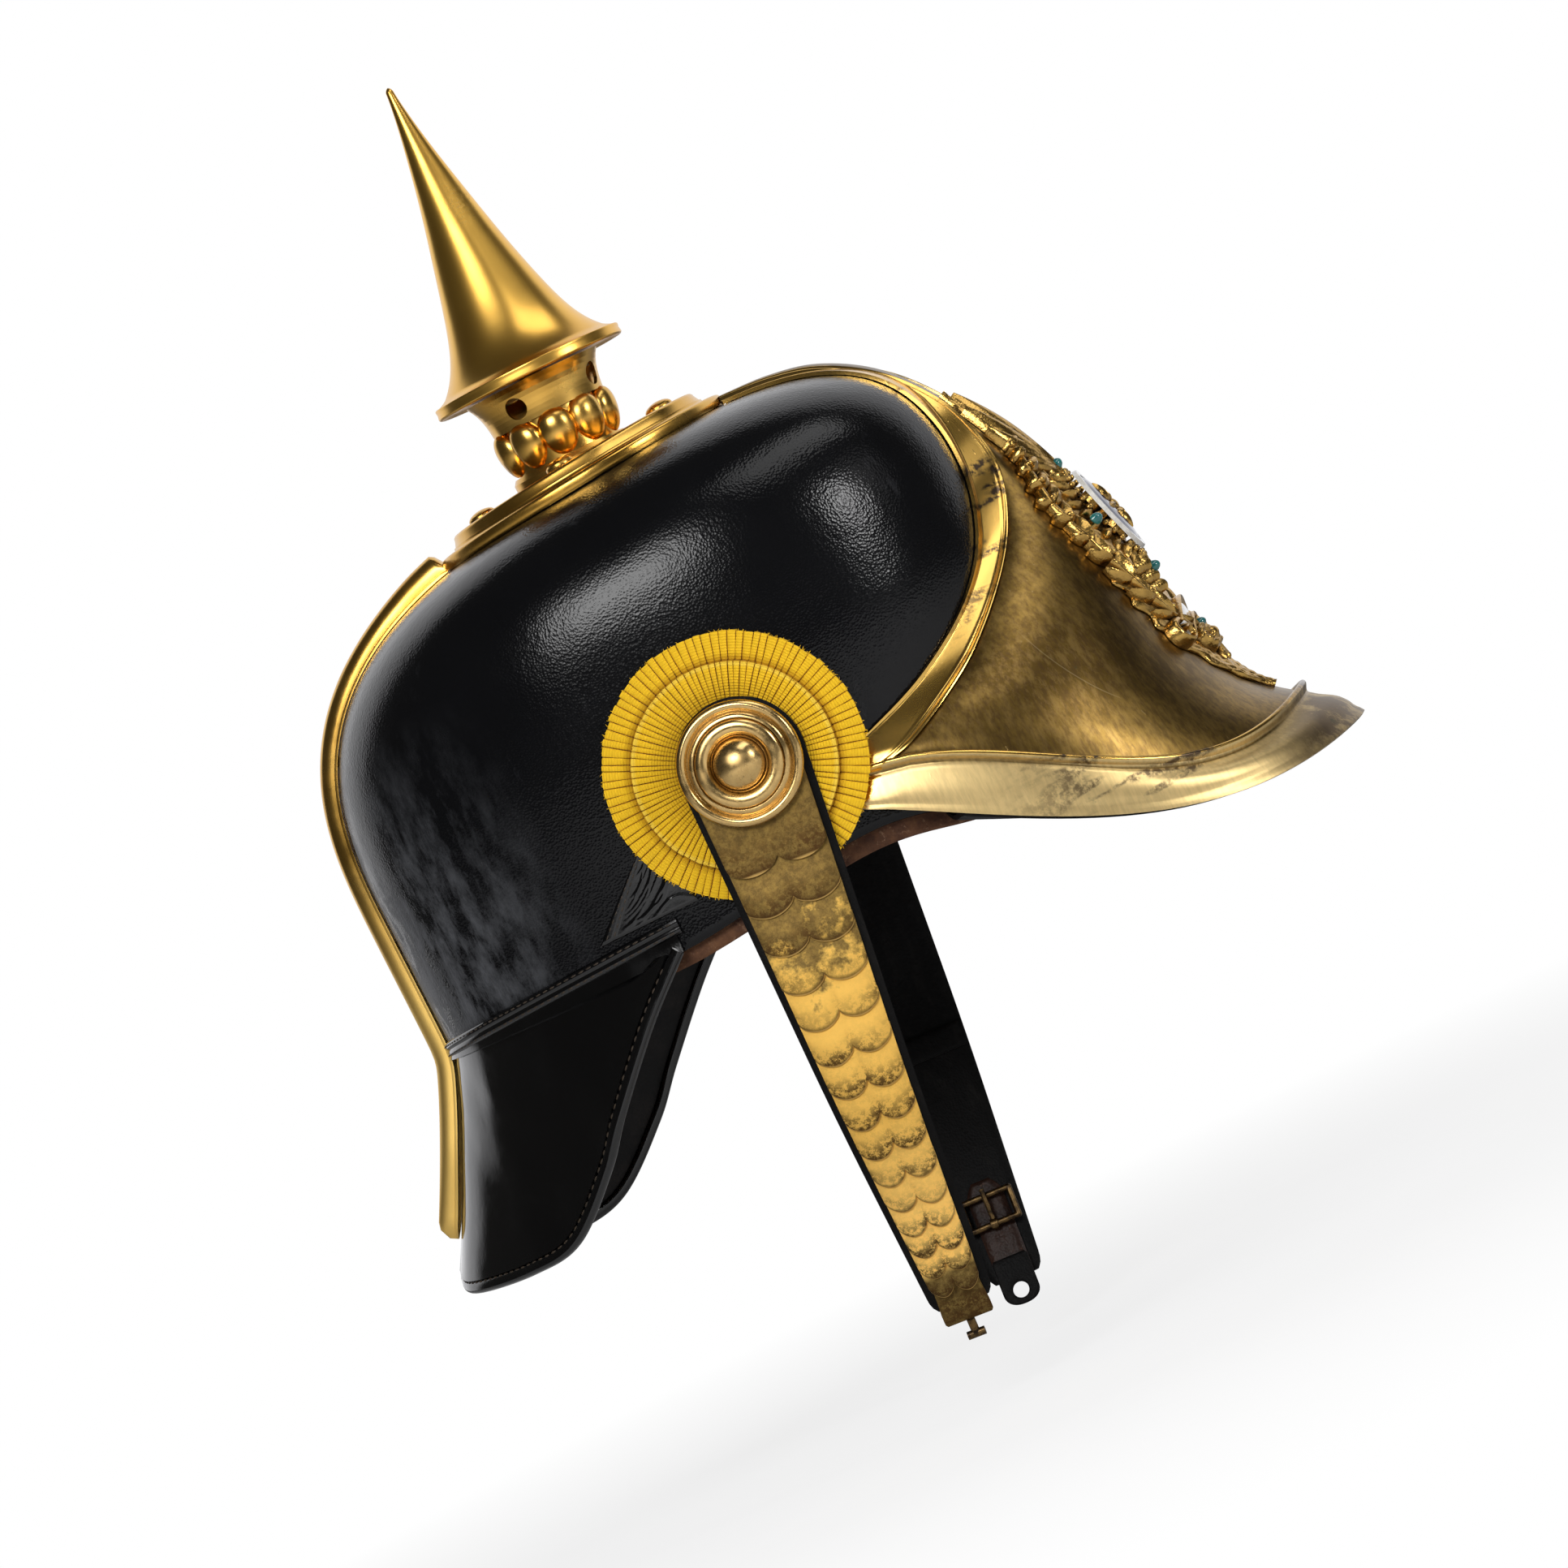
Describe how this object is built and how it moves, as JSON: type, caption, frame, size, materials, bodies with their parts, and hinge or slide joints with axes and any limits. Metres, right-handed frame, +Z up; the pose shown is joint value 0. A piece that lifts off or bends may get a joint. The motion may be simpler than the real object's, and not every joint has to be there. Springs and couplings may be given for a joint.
{
  "type": "military spiked helmet",
  "caption": "Blocked leather helmet with brass front plate and peak, rear spine, crown plate, turned spike, cockades and scaled chin straps.",
  "frame": {"origin": "centre of the head opening, on the rim plane", "axes": "+X towards the peak, +Y towards the wearer's left, +Z up along the spike"},
  "size_m": [0.329, 0.2176, 0.428],
  "materials": {
    "skull_leather": "blocked black leather, fine grain, soft sheen",
    "patent_leather": "black patent leather, glossy",
    "polished_brass": "polished, gilded brass",
    "plate_brass": "brushed and tarnished brass sheet",
    "plain_brass": "turned brass",
    "ornament_gilt": "cast, antiqued gilt",
    "blue_enamel": "dark blue glass enamel",
    "white_enamel": "white glass enamel",
    "cockade_wool": "yellow woven braid, pleated",
    "scale_brass": "stamped brass with brown spotting",
    "strap_leather": "black leather",
    "dark_metal": "darkened brass wire",
    "brown_leather": "brown leather",
    "liner_leather": "thin tan leather",
    "liner_cord": "twisted cotton cord"
  },
  "bodies": {
    "helmet": {"skull_shell": "skull_leather", "front_plate": "plate_brass", "peak_lining": "patent_leather", "neck_guard": "patent_leather", "neck_guard_binding": "patent_leather", "neck_seam_strip": "patent_leather", "side_patches": "skull_leather", "rear_spine": "polished_brass", "spine_pins": "plain_brass", "crown_plate": "polished_brass", "crown_studs": "polished_brass", "crown_nuts": "plain_brass", "spike_seat": "polished_brass", "petal_ring": "polished_brass", "spike_neck": "polished_brass", "neck_bridge": "plain_brass", "front_ornament": "ornament_gilt", "ornament_medallion": "blue_enamel", "ornament_enamel_ring": "white_enamel", "right_cockade": "cockade_wool", "left_cockade": "cockade_wool", "right_boss": "polished_brass", "left_boss": "polished_brass", "boss_nuts": "plain_brass", "sweatband": "brown_leather", "liner_tongues": "liner_leather", "liner_drawstring": "liner_cord"},
    "spike": {"spike_cone": "polished_brass", "spike_screw": "plain_brass"},
    "right_strap": {"right_strap_head": "scale_brass", "right_strap_leather": "strap_leather", "right_strap_scales": "scale_brass"},
    "right_strap_end": {"right_strap_leather_end": "strap_leather", "right_strap_end_scales": "scale_brass", "right_end_plate": "scale_brass", "right_hook_stud": "dark_metal"},
    "left_strap": {"left_strap_head": "scale_brass", "left_strap_leather": "strap_leather", "left_strap_scales": "scale_brass"},
    "left_strap_end": {"left_strap_leather_end": "strap_leather", "left_strap_end_scales": "scale_brass", "left_end_plate": "scale_brass", "left_keeper_loop": "strap_leather"},
    "left_tail": {"left_tail_strap": "brown_leather", "left_eye_tab": "brown_leather"},
    "left_buckle": {"left_buckle_frame": "dark_metal"},
    "left_prong": {"left_buckle_prong": "dark_metal"}
  },
  "joints": [
    {"name": "spike_turn", "type": "hinge", "parent": "helmet", "child": "spike", "pos_m": [0.014, 0, 0.1765], "axis": [0, 0, 1], "continuous": true},
    {"name": "right_strap_swivel", "type": "hinge", "parent": "helmet", "child": "right_strap", "pos_m": [0.029, -0.08632, 0.043], "axis": [0, -1, 0], "range_deg": [-30, 110]},
    {"name": "right_strap_bend", "type": "hinge", "parent": "right_strap", "child": "right_strap_end", "pos_m": [0.0221, -0.0937, -0.04087], "axis": [0.9966, 0, -0.0819], "range_deg": [0, 30]},
    {"name": "left_strap_swivel", "type": "hinge", "parent": "helmet", "child": "left_strap", "pos_m": [0.029, 0.08632, 0.043], "axis": [0, -1, 0], "range_deg": [-30, 110]},
    {"name": "left_strap_bend", "type": "hinge", "parent": "left_strap", "child": "left_strap_end", "pos_m": [0.02401, 0.0937, -0.041], "axis": [-0.9982, 0, 0.0593], "range_deg": [0, 30]},
    {"name": "left_tail_slide", "type": "slide", "parent": "left_strap_end", "child": "left_tail", "axis": [-0.0568, -0.29, -0.9553], "range_m": [0, 0.012]},
    {"name": "left_buckle_tilt", "type": "hinge", "parent": "left_strap_end", "child": "left_buckle", "pos_m": [0.01898, 0.07167, -0.12563], "axis": [0.9982, 0, -0.0593], "range_deg": [0, 60]},
    {"name": "left_prong_tilt", "type": "hinge", "parent": "left_buckle", "child": "left_prong", "pos_m": [0.01898, 0.07167, -0.12563], "axis": [0.9982, 0, -0.0593], "range_deg": [0, 60]}
  ]
}
